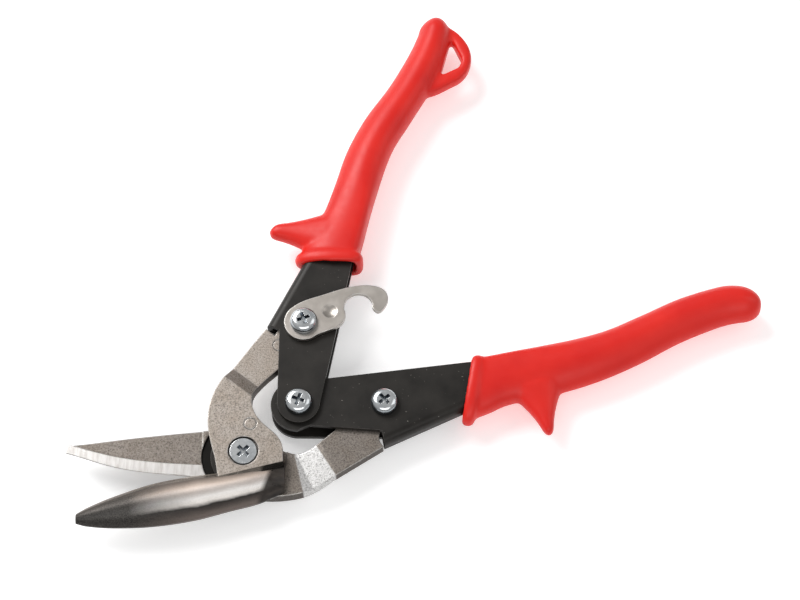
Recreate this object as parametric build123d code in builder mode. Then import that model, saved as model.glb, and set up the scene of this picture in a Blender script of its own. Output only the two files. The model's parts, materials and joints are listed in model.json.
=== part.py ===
"""Compound-action offset aviation snips, blades pointing to -X, shown open.

The jaw pivot is the design origin: the blades meet on the plane z = 0 there.
Everything is then placed by frames, so that the finished tool stands with its
lowest point on z = 0 and its plan box centred on the origin. Millimetres.
"""

from build123d import *
import os
from math import asin, cos, degrees, radians, sin

os.makedirs("parts", exist_ok=True)

# ---- driving dimensions -------------------------------------------------
jaw_arm = 50.2  # jaw pivot to the pivot in either jaw's tang
handle_arm = 28.8  # handle pivot to the pivot in either handle
jaw_half_angle = 23.12  # half the angle between the jaw arms, open
linkage_axis = 44.3  # direction of the kite's axis of symmetry

jaw_pivot_x = -58.56  # where the jaw pivot stands in the finished part
jaw_pivot_y = -72.42
jaw_pivot_z = 8.5

sheet = 1.6  # pressed steel of the channels
channel_gap = 4.7  # clear width between a channel's cheeks
tang_thickness = 4.5
jaw_thickness = 5.4  # forged jaw body, each side of the cutting plane
jaw_clearance = 0.03  # between the blades' faces
cheek_clearance = 0.1  # between the nested cheeks
bend_radius = 3.0  # outside bend of the channel's spine

shank_radius = 2.5
head_radius = 4.65
head_height = 3.0
head_round = 2.3
nut_width = 8.0
nut_height = 3.2
running_fit = 0.05
seat_fit = 0.02
open_pivot_clearance = 0.45  # slack at the one pivot that the tree leaves open
bush_radius = 4.0

bolt_radius = 3.5  # jaw pivot bolt
bolt_head_radius = 4.7
bolt_recess_radius = 5.1
bolt_recess_depth = 1.3
pivot_pocket_radius = 14.2  # relieved ring round the jaw pivot
pivot_pocket_depth = 0.8

grip_half_depth = 6.2
guard_half_depth = 3.8
loop_half_depth = 2.6
collar_half_depth = 7.2
collar_length = 5.5
tail_clearance = 0.15

latch_washer_thickness = 0.4
latch_thickness = 1.6
latch_end_radius = 6.6
latch_throat_radius = 4.9
latch_reach = 19.4  # latch pivot to the centre of its throat
latch_throat_angle = 71.0

# ---- the linkage --------------------------------------------------------
stagger = (sheet + cheek_clearance) / 2
channel_width = channel_gap + 2 * sheet
handle_half_angle = degrees(asin(jaw_arm * sin(radians(jaw_half_angle)) / handle_arm))


def polar(length, angle):
    """A point at a length and an angle in degrees."""
    return Vector(length * cos(radians(angle)), length * sin(radians(angle)))


jaw_pivot = Vector(jaw_pivot_x, jaw_pivot_y, jaw_pivot_z)
upper_jaw_pivot = jaw_pivot + polar(jaw_arm, linkage_axis + jaw_half_angle)
lower_jaw_pivot = jaw_pivot + polar(jaw_arm, linkage_axis - jaw_half_angle)
handle_pivot = upper_jaw_pivot - polar(handle_arm, linkage_axis + handle_half_angle)

jaw_frame = Plane(origin=jaw_pivot)
lower_frame = Plane(
    origin=handle_pivot + Vector(0, 0, -stagger),
    x_dir=lower_jaw_pivot - handle_pivot,
    z_dir=(0, 0, 1),
)
upper_frame = Plane(
    origin=handle_pivot + Vector(0, 0, stagger),
    x_dir=upper_jaw_pivot - handle_pivot,
    z_dir=(0, 0, -1),
)
upper_front = stagger + channel_width / 2  # faces of the channels, from the cutting plane
lower_front = channel_width / 2 - stagger
upper_back = -lower_front
lower_back = -upper_front


def in_jaw(point):
    """A point of the finished part, as x, y from the jaw pivot."""
    return (point.X - jaw_pivot.X, point.Y - jaw_pivot.Y)


tang_up = in_jaw(upper_jaw_pivot)
tang_down = in_jaw(lower_jaw_pivot)


def level(point, z):
    """A plane square to Z at a pivot, z above the cutting plane."""
    return Plane(origin=(point.X, point.Y, jaw_pivot_z + z))


# ---- jaws ---------------------------------------------------------------
# A jaw is its outline cut by a side view, which steps the tang across to the
# middle of its channel, plus the blade.
front_step_angle = 52.8
front_step_start = (-6.6, 26.4)
front_step_length = 4.5
back_step_angle = 26.0
back_step_start = (17.2, 0.9)
back_step_length = 9.0
tang_radius = 7.4


def side_view(start, angle, length, body, tang, under_lead=0):
    """Side view of a stepped jaw: body and tang are (lowest, highest) levels.

    under_lead is how much sooner the step begins on the underside.
    """
    far = 90
    frame = Plane(
        origin=jaw_pivot + Vector(start[0], start[1], 0),
        x_dir=polar(1, angle),
        z_dir=(sin(radians(angle)), -cos(radians(angle)), 0),
    )
    with BuildSketch(frame) as view:
        with BuildLine():
            Polyline(
                (-far, body[0]), (-under_lead, body[0]), (length - under_lead, tang[0]), (far, tang[0]),
                (far, tang[1]), (length, tang[1]), (0, body[1]), (-far, body[1]),
                close=True,
            )
        make_face()
    return view.sketch


front_body = (jaw_clearance, jaw_thickness)
front_tang = (stagger - tang_thickness / 2, stagger + tang_thickness / 2)
back_body = (-jaw_thickness, 0)
back_tang = (-stagger - tang_thickness / 2, -stagger + tang_thickness / 2)

# Lower blade: stations along the blade as x, cutting edge y, back y, height.
# Each section is flat on the cutting plane and crowned outwards.
blade_stations = [
    (-54.6, -20.3, -23.6, 1.5),
    (-51.0, -18.2, -24.4, 2.7),
    (-43.0, -14.6, -25.0, 4.3),
    (-30.0, -10.0, -24.6, 5.7),
    (-16.0, -7.2, -22.5, 6.3),
    (-4.0, -5.6, -19.2, 6.3),
    (6.0, -3.6, -16.4, 5.8),
    (13.6, -2.6, -12.6, 4.2),
]
bevel_height = 0.9
bevel_width = 0.7
scoop_radius = 6.8  # hollow at the blade's heel
scoop_centre = (14.0, -9.5)
scoop_height = 9.5

with BuildPart() as front_jaw:
    with BuildSketch(jaw_frame.offset(-jaw_thickness)):
        with BuildLine():
            Spline((-8.4, -7.6), (-9.3, -2.6), (-11.7, 6.6), (-12.2, 11.8), (-10.6, 20.5), (-6.6, 27.4))
            Line((-6.6, 27.4), (2.6, 40.3))
            shoulder = Line((2.6, 40.3), (6.4, 45.2))
            shoulder_step = Line((6.4, 45.2), (9.4, 42.6))
            tang_left = Line((9.4, 42.6), (tang_up[0] - tang_radius * 0.78, tang_up[1] + tang_radius * 0.62))
            tang_end = ThreePointArc(
                tang_left @ 1,
                (tang_up[0] + tang_radius * 0.62, tang_up[1] + tang_radius * 0.78),
                (tang_up[0] + tang_radius * 0.78, tang_up[1] - tang_radius * 0.62),
            )
            Line(tang_end @ 1, (11.0, 30.4))
            Spline((11.0, 30.4), (6.1, 25.8), (2.5, 20.1), (2.6, 16.0), (6.3, 9.8), (10.6, 5.9), (13.2, -0.9))
            Line((13.2, -0.9), (13.4, -5.0))
            Line((13.4, -5.0), (-7.0, -12.0))
            Line((-7.0, -12.0), (-8.4, -7.6))
        make_face()
    extrude(amount=3 * jaw_thickness)
    front_view = side_view(front_step_start, front_step_angle, front_step_length, front_body, front_tang)
    extrude(front_view, amount=90, both=True, mode=Mode.INTERSECT)
    for x, edge_y, back_y, height in blade_stations:
        station = Plane(origin=jaw_pivot + Vector(x, 0, jaw_clearance), x_dir=(0, 1, 0), z_dir=(1, 0, 0))
        with BuildSketch(station):
            width = edge_y - back_y
            with BuildLine():
                Line((back_y, 0), (edge_y, 0))
                Line((edge_y, 0), (edge_y - bevel_width * height / 6, bevel_height * height / 6))
                Spline(
                    (edge_y - bevel_width * height / 6, bevel_height * height / 6),
                    (edge_y - 0.22 * width, 0.80 * height),
                    (edge_y - 0.50 * width, height),
                    (edge_y - 0.82 * width, 0.66 * height),
                    (back_y, 0.16 * height),
                )
                Line((back_y, 0.16 * height), (back_y, 0))
            make_face()
    loft()
    with Locations(jaw_frame * Pos(scoop_centre[0], scoop_centre[1], scoop_height)):
        Sphere(scoop_radius, mode=Mode.SUBTRACT)
    with Locations(jaw_frame):
        Hole(bolt_radius + running_fit)
    with BuildSketch(jaw_frame.offset(jaw_thickness)):
        Circle(bolt_recess_radius)
    extrude(amount=-bolt_recess_depth, mode=Mode.SUBTRACT)
    with BuildSketch(jaw_frame.offset(jaw_thickness)):
        with Locations((2.1, 9.6)):
            Circle(2.2)
            Circle(1.95, mode=Mode.SUBTRACT)
    extrude(amount=-0.3, mode=Mode.SUBTRACT)
    with BuildSketch(jaw_frame.offset(front_tang[1])):
        with Locations((10.9, 39.2)):
            Circle(2.2)
            Circle(1.95, mode=Mode.SUBTRACT)
    extrude(amount=-0.3, mode=Mode.SUBTRACT)
    with Locations(level(upper_jaw_pivot, 0)):
        Hole(bush_radius)

upper_relief_depth = 0.35

# Upper blade: stations as x, cutting edge y, spine y, depth. The cutting side
# leans back under the edge.
upper_blade_stations = [
    (-59.5, 0.9, 3.8, 2.2),
    (-51.0, -1.7, 4.7, 3.6),
    (-40.0, -4.7, 6.2, 4.8),
    (-28.0, -6.3, 7.6, 5.4),
    (-17.0, -7.4, 8.7, 5.4),
    (-6.0, -9.6, 9.6, 5.4),
]
edge_lean = 0.55
spine_lean = 0.12

with BuildPart() as back_jaw:
    with BuildSketch(jaw_frame.offset(-2 * jaw_thickness)):
        with BuildLine():
            Line((-7.0, -9.8), (-7.0, 9.5))
            Spline((-7.0, 9.5), (-3.0, 10.4), (5.0, 8.6), (13.0, 2.2), (18.1, 0.8), (24.0, 3.5), (30.0, 8.6))
            tang_corner = (tang_down[0] - tang_radius * 0.62, tang_down[1] + tang_radius * 0.78)
            tang_top = Line((30.0, 8.6), tang_corner)
            tang_round = ThreePointArc(
                tang_top @ 1,
                (tang_down[0] + tang_radius * 0.78, tang_down[1] + tang_radius * 0.62),
                (tang_down[0] + tang_radius * 0.62, tang_down[1] - tang_radius * 0.78),
            )
            Line(tang_round @ 1, (45.9, 9.0))
            ThreePointArc((45.9, 9.0), (45.1, 6.0), (46.6, 3.0))
            Line((46.6, 3.0), (29.8, -7.8))
            Spline((29.8, -7.8), (22.3, -12.0), (14.8, -13.8), (5.0, -13.9), (-7.0, -9.8))
        make_face()
    extrude(amount=4 * jaw_thickness)
    back_view = side_view(
        back_step_start, back_step_angle, back_step_length, back_body, back_tang, under_lead=3.5
    )
    extrude(back_view, amount=90, both=True, mode=Mode.INTERSECT)
    for x, edge_y, spine_y, depth in upper_blade_stations:
        station = Plane(origin=jaw_pivot + Vector(x, 0, 0), x_dir=(0, 1, 0), z_dir=(1, 0, 0))
        with BuildSketch(station):
            with BuildLine():
                Polyline(
                    (edge_y, 0), (spine_y, 0), (spine_y - spine_lean * depth, -depth),
                    (edge_y + edge_lean * depth, -depth), close=True,
                )
            make_face()
    loft(ruled=False)
    with BuildSketch(jaw_frame):
        Circle(pivot_pocket_radius)
    extrude(amount=-pivot_pocket_depth, mode=Mode.SUBTRACT)
    with BuildSketch(jaw_frame):
        with BuildLine():
            Spline((-57.9, 4.0), (-53.2, 2.5), (-44.7, 0.2), (-31.5, -1.9), (-14.0, -3.1))
            Line((-14.0, -3.1), (-14.0, 12.0))
            Line((-14.0, 12.0), (-57.9, 12.0))
            Line((-57.9, 12.0), (-57.9, 4.0))
        make_face()
    extrude(amount=-upper_relief_depth, mode=Mode.SUBTRACT)
    with Locations(jaw_frame):
        Hole(bolt_radius)
    with Locations(level(lower_jaw_pivot, 0)):
        Hole(bush_radius)

# ---- jaw pivot ----------------------------------------------------------
jaw_nut_width = 10.0
bolt_slot = (4.8, 1.3)

with BuildPart() as jaw_pivot_bolt:
    with BuildSketch(level(jaw_pivot, jaw_thickness - bolt_recess_depth)):
        Circle(bolt_head_radius)
    extrude(amount=bolt_recess_depth - 0.1)
    chamfer(jaw_pivot_bolt.faces().sort_by(Axis.Z)[-1].edges(), 0.3)
    with BuildSketch(level(jaw_pivot, -jaw_thickness - nut_height + 0.4)):
        Circle(bolt_radius)
    extrude(amount=2 * jaw_thickness + nut_height - bolt_recess_depth - 0.4)
    with BuildSketch(level(jaw_pivot, jaw_thickness - 0.1)):
        with Locations(Location((0, 0), 45)):
            Rectangle(*bolt_slot)
            Rectangle(*reversed(bolt_slot))
    extrude(amount=-1.5, taper=8, mode=Mode.SUBTRACT)

with BuildPart() as jaw_pivot_washer:
    with BuildSketch(level(jaw_pivot, -pivot_pocket_depth)):
        Circle(pivot_pocket_radius - 3.0)
        Circle(bolt_radius + running_fit, mode=Mode.SUBTRACT)
    extrude(amount=pivot_pocket_depth)

with BuildPart() as jaw_pivot_nut:
    with BuildSketch(level(jaw_pivot, -jaw_thickness)):
        RegularPolygon(jaw_nut_width / 2, 6, major_radius=False)
        Circle(bolt_radius, mode=Mode.SUBTRACT)
    extrude(amount=-nut_height + 0.7)
    chamfer(jaw_pivot_nut.faces().sort_by(Axis.Z)[0].outer_wire().edges(), 0.4)


# ---- handles ------------------------------------------------------------
# Each handle's frame has X from the handle pivot to its jaw pivot and Y towards
# the other handle. The upper frame is the lower one turned over.
wall_rise = sheet / cos(radians(25))  # the spine's wall, measured along Y


def shifted(points, rise, reach=0):
    """The same points, moved along Y, with the last one also moved along X."""
    raised = [(x, y + rise) for x, y in points]
    raised[-1] = (points[-1][0] + reach, points[-1][1] + rise)
    return raised


def long_curve(points):
    """A straight run from the first point to the second, then a smooth curve."""
    Line(points[0], points[1])
    Spline(*points[1:], tangents=[Vector(*points[1]) - Vector(*points[0]), Vector(1, 0.45)])


def tail_lines(spine, inner_edge):
    """A channel's outline from its spine round the tail's end and back."""
    long_curve(spine)
    Line(spine[-1], inner_edge[-1])
    long_curve(inner_edge)


def channel(frame, spine, inner_edge, end_radius, cheek_corner, turns_on_sleeve, front_trim=None):
    """A pressed channel: two cheeks and, from spine[0] on, a spine on the outside.

    The one that turns on the sleeve has one cheek round it and the other on the screw.
    front_trim outlines what is cut off the front cheek.
    """

    def on_spine(edge, half_width):
        spot = frame.to_local_coords(edge.center())
        beside = spot.X > spine[0][0] and spot.Y < 0.2 * spot.X - 3.5
        return beside and abs(abs(spot.Z) - half_width) < 0.01

    with BuildPart() as made:
        with BuildSketch(frame.offset(-channel_width / 2)):
            with BuildLine():
                ThreePointArc(inner_edge[0], (-end_radius, 0), (0, -end_radius))
                Line((0, -end_radius), cheek_corner)
                Line(cheek_corner, spine[0])
                tail_lines(spine, inner_edge)
            make_face()
        extrude(amount=channel_width)
        fillet(made.edges().filter_by(lambda e: on_spine(e, channel_width / 2)), bend_radius)
        with BuildSketch(frame.offset(-channel_gap / 2)):
            raised = shifted(spine, wall_rise)
            tail_end = spine[-1][0]
            with BuildLine():
                Polyline((tail_end, 90), (-30, 90), (-30, -30), (spine[0][0], -30), raised[0])
                long_curve(raised)
                Line(raised[-1], (tail_end, 90))
            make_face()
        extrude(amount=channel_gap, mode=Mode.SUBTRACT)
        inner_corners = made.edges().filter_by(lambda e: on_spine(e, channel_gap / 2))
        fillet(inner_corners.filter_by(lambda e: e.length > 5), bend_radius - sheet)
        with Locations(frame, frame * Pos(handle_arm, 0, 0)):
            Hole(shank_radius + seat_fit)
        if turns_on_sleeve:
            with BuildSketch(frame):
                Circle(sleeve_radius + running_fit)
            extrude(amount=channel_width, mode=Mode.SUBTRACT)
            with BuildSketch(frame):
                Circle(shank_radius + running_fit)
            extrude(amount=-channel_width, mode=Mode.SUBTRACT)
        if front_trim:
            with BuildSketch(frame.offset(channel_gap / 2)):
                with BuildLine():
                    Polyline(*front_trim, close=True)
                make_face()
            extrude(amount=sheet + 0.1, mode=Mode.SUBTRACT)
    return made


sleeve_radius = 3.5

upper_spine = [(28.3, -12.6), (52.0, -2.0), (72.0, 6.4), (95.0, 13.8), (122.0, 27.0)]
upper_inner_edge = [(0, 7.2), (57.0, 15.7), (72.0, 17.6), (95.0, 22.0), (119.0, 32.6)]
lower_spine = [(28.6, -14.8), (54.0, -3.4), (72.0, 3.4), (95.0, 9.8), (122.0, 21.4)]
lower_inner_edge = [(-5.1, 7.6), (57.0, 14.2), (72.0, 15.2), (95.0, 18.4), (119.0, 27.6)]

upper_channel = channel(
    upper_frame,
    upper_spine,
    upper_inner_edge,
    end_radius=7.2,
    cheek_corner=(26.4, -8.2),
    turns_on_sleeve=True,
)
lower_channel = channel(
    lower_frame,
    lower_spine,
    lower_inner_edge,
    end_radius=9.4,
    cheek_corner=(27.8, -10.1),
    turns_on_sleeve=False,
    front_trim=[(-1.0, -12.0), (-1.0, -9.6), (3.6, -7.7), (27.2, -9.9), (27.9, -12.0)],
)


def across(frame, x, y, slant=0):
    """A plane square to a handle at x, y of its frame, its Y along the handle's Y."""
    ahead = frame.from_local_coords(Vector(x + cos(radians(slant)), y - sin(radians(slant)), 0))
    side = frame.from_local_coords(Vector(x + sin(radians(slant)), y + cos(radians(slant)), 0))
    spot = frame.from_local_coords(Vector(x, y, 0))
    return Plane(origin=spot, x_dir=side - spot, z_dir=ahead - spot)


def grip(frame, spine, inner_edge, outer, end, inner, guard, collar, loop=None):
    """A moulded grip: body, finger guard and collar round the channel's tail.

    collar is (x, lowest y, highest y, slant in degrees). loop is the outline of
    a hang loop and the corners of its hole.
    """
    collar_x, collar_low, collar_high, collar_slant = collar
    collar_middle = (collar_low + collar_high) / 2
    collar_plane = across(frame, collar_x, collar_middle, collar_slant)
    with BuildPart() as made:
        with BuildSketch(frame.offset(-grip_half_depth)):
            with BuildLine():
                Spline(*outer)
                ThreePointArc(outer[-1], end, inner[0])
                Spline(*inner)
                Line(inner[-1], outer[0])
            make_face()
        extrude(amount=2 * grip_half_depth)
        faces = made.faces().filter_by(Axis.Z)
        fillet(faces.edges().filter_by(lambda e: frame.to_local_coords(e.center()).X > outer[0][0] + 2), 3.0)
        with BuildSketch(frame.offset(-guard_half_depth)):
            with BuildLine():
                Spline(*guard)
                Line(guard[-1], guard[0])
            make_face()
        extrude(amount=2 * guard_half_depth)
        if loop:
            loop_outline, loop_hole = loop
            with BuildSketch(frame.offset(-loop_half_depth)):
                with BuildLine():
                    Spline(*loop_outline)
                    Line(loop_outline[-1], loop_outline[0])
                make_face()
            extrude(amount=2 * loop_half_depth)
            with BuildSketch(frame.offset(-grip_half_depth)) as hole:
                with BuildLine():
                    Polyline(*loop_hole, close=True)
                make_face()
                fillet(hole.vertices(), 1.2)
            extrude(amount=2 * grip_half_depth, mode=Mode.SUBTRACT)
        with BuildSketch(collar_plane):
            RectangleRounded(collar_high - collar_low, 2 * collar_half_depth, 3.6)
        extrude(amount=collar_length)
        pocket_spine = shifted(spine, -tail_clearance, 2 * tail_clearance)
        pocket_edge = shifted(inner_edge, tail_clearance, 2 * tail_clearance)
        with BuildSketch(frame.offset(-channel_width / 2 - tail_clearance)):
            with BuildLine():
                tail_lines(pocket_spine, pocket_edge)
                Line(pocket_edge[0], pocket_spine[0])
            make_face()
        extrude(amount=channel_width + 2 * tail_clearance, mode=Mode.SUBTRACT)
        with BuildSketch(collar_plane):
            RectangleRounded(collar_high - collar_low - 3.4, 2 * collar_half_depth - 3.4, 2.4)
        extrude(amount=5.0, taper=14, mode=Mode.SUBTRACT)
    return made


upper_grip = grip(
    upper_frame,
    upper_spine,
    upper_inner_edge,
    outer=[
        (56.0, -4.6), (72.4, 3.8), (85.3, 7.7), (98.4, 11.2),
        (111.7, 16.9), (125.3, 24.9), (139.1, 31.4), (150.6, 35.6),
    ],
    end=(154.2, 40.4),
    inner=[
        (150.6, 45.6), (138.0, 43.8), (125.3, 39.4), (111.7, 32.7),
        (98.3, 26.3), (78.7, 21.4), (57.5, 17.8),
    ],
    guard=[(57.6, 3.0), (58.6, -4.0), (61.4, -10.4), (63.0, -13.0), (65.3, -14.4), (67.3, -13.6), (68.4, -11.2),
           (67.9, -4.0), (69.4, 1.8), (73.0, 7.0)],
    collar=(52.0, -4.9, 19.4, 0),
    loop=(
        [
            (152.6, 42.0), (149.6, 47.6), (145.1, 51.8), (140.4, 53.8),
            (135.6, 53.8), (131.0, 52.0), (127.4, 48.0), (123.0, 37.5),
        ],
        [(146.2, 46.2), (137.2, 50.6), (134.0, 49.6), (129.9, 42.7)],
    ),
)
lower_grip = grip(
    lower_frame,
    lower_spine,
    lower_inner_edge,
    outer=[
        (56.6, -6.6), (71.2, 0.1), (88.3, 4.0), (102.2, 8.3),
        (116.2, 14.4), (130.4, 21.9), (144.6, 27.6), (155.1, 29.9),
    ],
    end=(159.3, 36.2),
    inner=[
        (154.6, 41.7), (144.8, 41.5), (130.7, 37.2), (116.6, 30.8),
        (102.6, 25.0), (81.9, 20.1), (57.5, 15.6),
    ],
    guard=[(72.0, 4.0), (74.4, 0.0), (78.7, -5.4), (80.9, -9.1), (82.6, -11.3), (84.4, -11.5), (85.7, -10.0), (86.0, -6.0),
           (86.3, 1.0), (91.0, 6.5)],
    collar=(56.2, -7.9, 17.8, 0),
)


# ---- latch --------------------------------------------------------------
throat = Vector(handle_arm, 0) + polar(latch_reach, latch_throat_angle)
throat_in = throat + polar(latch_throat_radius, 251)
throat_deep = throat + polar(latch_throat_radius, 0)
throat_out = throat + polar(latch_throat_radius, 76)
latch_back = upper_front + latch_washer_thickness
dimple_radius = 5.0
dimple_depth = 0.7

with BuildPart() as latch:
    with BuildSketch(upper_frame.offset(stagger - latch_back)) as latch_outline:
        with BuildLine():
            ThreePointArc(
                (handle_arm + latch_end_radius * 0.71, -latch_end_radius * 0.71),
                (handle_arm - latch_end_radius * 0.71, -latch_end_radius * 0.71),
                (handle_arm - latch_end_radius * 0.8, latch_end_radius * 0.6),
            )
            Spline(
                (handle_arm - latch_end_radius * 0.8, latch_end_radius * 0.6),
                (26.1, 9.1), (28.6, 12.9), (31.4, 14.1), (throat_in.X, throat_in.Y),
            )
            ThreePointArc(throat_in, throat_deep, throat_out)
            Spline(
                (throat_out.X, throat_out.Y),
                (34.0, 23.9), (33.5, 25.2), (35.0, 27.0), (38.3, 28.3), (41.4, 27.2), (43.3, 22.6), (42.4, 14.8),
                (38.7, 5.0), (36.4, -0.6),
                (handle_arm + latch_end_radius * 0.71, -latch_end_radius * 0.71),
            )
        make_face()
    extrude(amount=-latch_thickness)
    with Locations(upper_frame * Pos(33.1, 8.7, stagger - latch_back - latch_thickness - dimple_radius + dimple_depth)):
        Sphere(dimple_radius, mode=Mode.SUBTRACT)
    with Locations(upper_frame * Pos(handle_arm, 0, stagger - latch_back)):
        Hole(shank_radius + running_fit)

with BuildPart() as latch_washer:
    with BuildSketch(level(upper_jaw_pivot, upper_front)):
        Circle(5.2)
        Circle(shank_radius, mode=Mode.SUBTRACT)
    extrude(amount=latch_washer_thickness)


# ---- screws, nuts and bushes --------------------------------------------
cross_slot = (4.4, 1.2)


def pan_screw(point, seat, end, height, slot_angle):
    """A cross-recess pan-head screw seated at one level, its shank ending at another."""
    with BuildPart() as made:
        with BuildSketch(level(point, seat)):
            Circle(head_radius)
        extrude(amount=height)
        fillet(made.faces().sort_by(Axis.Z)[-1].edges(), head_round)
        with BuildSketch(level(point, end)):
            Circle(shank_radius)
        extrude(amount=seat - end)
        with BuildSketch(level(point, seat + height)):
            with Locations(Location((0, 0), slot_angle)):
                Rectangle(*cross_slot)
                Rectangle(*reversed(cross_slot))
        extrude(amount=-1.8, taper=8, mode=Mode.SUBTRACT)
    return made


def hex_nut(point, seat):
    """A hexagon nut hanging below a seat."""
    with BuildPart() as made:
        with BuildSketch(level(point, seat)):
            RegularPolygon(nut_width / 2, 6, major_radius=False)
            Circle(shank_radius, mode=Mode.SUBTRACT)
        extrude(amount=-nut_height)
        chamfer(made.faces().sort_by(Axis.Z)[0].outer_wire().edges(), 0.4)
    return made


def bush(point, low, high, outer_radius, inner_radius):
    """A plain tube between two levels."""
    with BuildPart() as made:
        with BuildSketch(level(point, low)):
            Circle(outer_radius)
            Circle(inner_radius, mode=Mode.SUBTRACT)
        extrude(amount=high - low)
    return made


nut_end = nut_height + 0.5
lower_head_height = 3.4  # tall enough for the latch to hook it
upper_jaw_screw = pan_screw(
    upper_jaw_pivot, latch_back + latch_thickness, upper_back - nut_end, head_height, 20
)
upper_jaw_nut = hex_nut(upper_jaw_pivot, upper_back)
lower_jaw_screw = pan_screw(lower_jaw_pivot, lower_front, lower_back - nut_end, lower_head_height, 40)
lower_jaw_nut = hex_nut(lower_jaw_pivot, lower_back)
handle_pivot_screw = pan_screw(handle_pivot, upper_front, lower_back - nut_end, head_height, 70)
handle_pivot_nut = hex_nut(handle_pivot, lower_back)
upper_tang_bush = bush(
    upper_jaw_pivot, front_tang[0], front_tang[1], bush_radius, shank_radius + open_pivot_clearance
)
lower_tang_bush = bush(lower_jaw_pivot, back_tang[0], back_tang[1], bush_radius, shank_radius + running_fit)
sleeve_low = lower_back + sheet
sleeve_high = lower_front - sheet
handle_pivot_sleeve = bush(handle_pivot, sleeve_low, sleeve_high, sleeve_radius, shank_radius)

# ---- return spring ------------------------------------------------------
# A torsion spring round the sleeve, one leg along each channel.
wire_radius = 0.45
spring_radius = 4.8
spring_pitch = 0.95
spring_leg = 15.0
lower_direction = linkage_axis - handle_half_angle
upper_direction = linkage_axis + handle_half_angle
spring_turns = 2 - (180 - (upper_direction - lower_direction)) / 360
spring_height = spring_pitch * spring_turns
spring_low = level(handle_pivot, -spring_height / 2)

coil = spring_low.location * Rot(0, 0, lower_direction + 90) * Helix(spring_pitch, spring_height, spring_radius)

with BuildPart() as return_spring:
    with BuildLine():
        lower_leg = Line(coil @ 0 - (coil % 0) * spring_leg, coil @ 0)
        add(coil)
        Line(coil @ 1, coil @ 1 + (coil % 1) * spring_leg)
    with BuildSketch(Plane(origin=lower_leg @ 0, z_dir=lower_leg % 0)):
        Circle(wire_radius)
    sweep()

# ---- one file for each piece --------------------------------------------
front_jaw.part.label = "front_jaw"
export_step(front_jaw.part, "parts/front_jaw.step")
back_jaw.part.label = "back_jaw"
export_step(back_jaw.part, "parts/back_jaw.step")
jaw_pivot_bolt.part.label = "jaw_pivot_bolt"
export_step(jaw_pivot_bolt.part, "parts/jaw_pivot_bolt.step")
jaw_pivot_washer.part.label = "jaw_pivot_washer"
export_step(jaw_pivot_washer.part, "parts/jaw_pivot_washer.step")
jaw_pivot_nut.part.label = "jaw_pivot_nut"
export_step(jaw_pivot_nut.part, "parts/jaw_pivot_nut.step")
upper_channel.part.label = "upper_channel"
export_step(upper_channel.part, "parts/upper_channel.step")
lower_channel.part.label = "lower_channel"
export_step(lower_channel.part, "parts/lower_channel.step")
upper_grip.part.label = "upper_grip"
export_step(upper_grip.part, "parts/upper_grip.step")
lower_grip.part.label = "lower_grip"
export_step(lower_grip.part, "parts/lower_grip.step")
latch.part.label = "latch"
export_step(latch.part, "parts/latch.step")
latch_washer.part.label = "latch_washer"
export_step(latch_washer.part, "parts/latch_washer.step")
upper_jaw_screw.part.label = "upper_jaw_screw"
export_step(upper_jaw_screw.part, "parts/upper_jaw_screw.step")
upper_jaw_nut.part.label = "upper_jaw_nut"
export_step(upper_jaw_nut.part, "parts/upper_jaw_nut.step")
lower_jaw_screw.part.label = "lower_jaw_screw"
export_step(lower_jaw_screw.part, "parts/lower_jaw_screw.step")
lower_jaw_nut.part.label = "lower_jaw_nut"
export_step(lower_jaw_nut.part, "parts/lower_jaw_nut.step")
handle_pivot_screw.part.label = "handle_pivot_screw"
export_step(handle_pivot_screw.part, "parts/handle_pivot_screw.step")
handle_pivot_nut.part.label = "handle_pivot_nut"
export_step(handle_pivot_nut.part, "parts/handle_pivot_nut.step")
handle_pivot_sleeve.part.label = "handle_pivot_sleeve"
export_step(handle_pivot_sleeve.part, "parts/handle_pivot_sleeve.step")
upper_tang_bush.part.label = "upper_tang_bush"
export_step(upper_tang_bush.part, "parts/upper_tang_bush.step")
lower_tang_bush.part.label = "lower_tang_bush"
export_step(lower_tang_bush.part, "parts/lower_tang_bush.step")
return_spring.part.label = "return_spring"
export_step(return_spring.part, "parts/return_spring.step")
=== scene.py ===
"""Looks for the offset aviation snips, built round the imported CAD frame."""

import json
import math
import bmesh
import bpy
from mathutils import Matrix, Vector


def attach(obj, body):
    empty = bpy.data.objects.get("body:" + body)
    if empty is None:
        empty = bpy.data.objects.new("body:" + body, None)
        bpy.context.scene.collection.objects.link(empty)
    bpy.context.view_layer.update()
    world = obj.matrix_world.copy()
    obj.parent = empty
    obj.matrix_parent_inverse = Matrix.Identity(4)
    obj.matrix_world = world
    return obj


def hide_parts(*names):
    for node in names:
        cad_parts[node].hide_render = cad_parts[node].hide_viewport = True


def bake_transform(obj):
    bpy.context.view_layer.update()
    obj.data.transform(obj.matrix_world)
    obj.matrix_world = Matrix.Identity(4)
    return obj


MM = 0.001
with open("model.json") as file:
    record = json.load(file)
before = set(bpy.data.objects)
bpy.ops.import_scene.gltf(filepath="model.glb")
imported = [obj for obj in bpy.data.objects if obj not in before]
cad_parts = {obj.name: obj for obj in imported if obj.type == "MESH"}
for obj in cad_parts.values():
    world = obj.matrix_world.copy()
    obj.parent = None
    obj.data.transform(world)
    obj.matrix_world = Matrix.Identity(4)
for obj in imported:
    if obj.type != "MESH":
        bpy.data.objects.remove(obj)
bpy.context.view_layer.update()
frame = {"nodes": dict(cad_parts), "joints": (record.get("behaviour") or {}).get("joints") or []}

nodes = frame["nodes"]
joints = {j["name"]: j for j in frame["joints"]}
jaw_pivot = Vector(joints["jaw_pivot"]["pos_m"])
handle_pivot = Vector(joints["handle_pivot"]["pos_m"])
lower_screw = Vector(joints["lower_jaw_pivot"]["pos_m"])
upper_screw = Vector(joints["latch_pivot"]["pos_m"])


def in_jaw(x, y, z=0.0):
    """A point given in millimetres from the jaw pivot."""
    return jaw_pivot + Vector((x, y, z)) * MM


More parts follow.
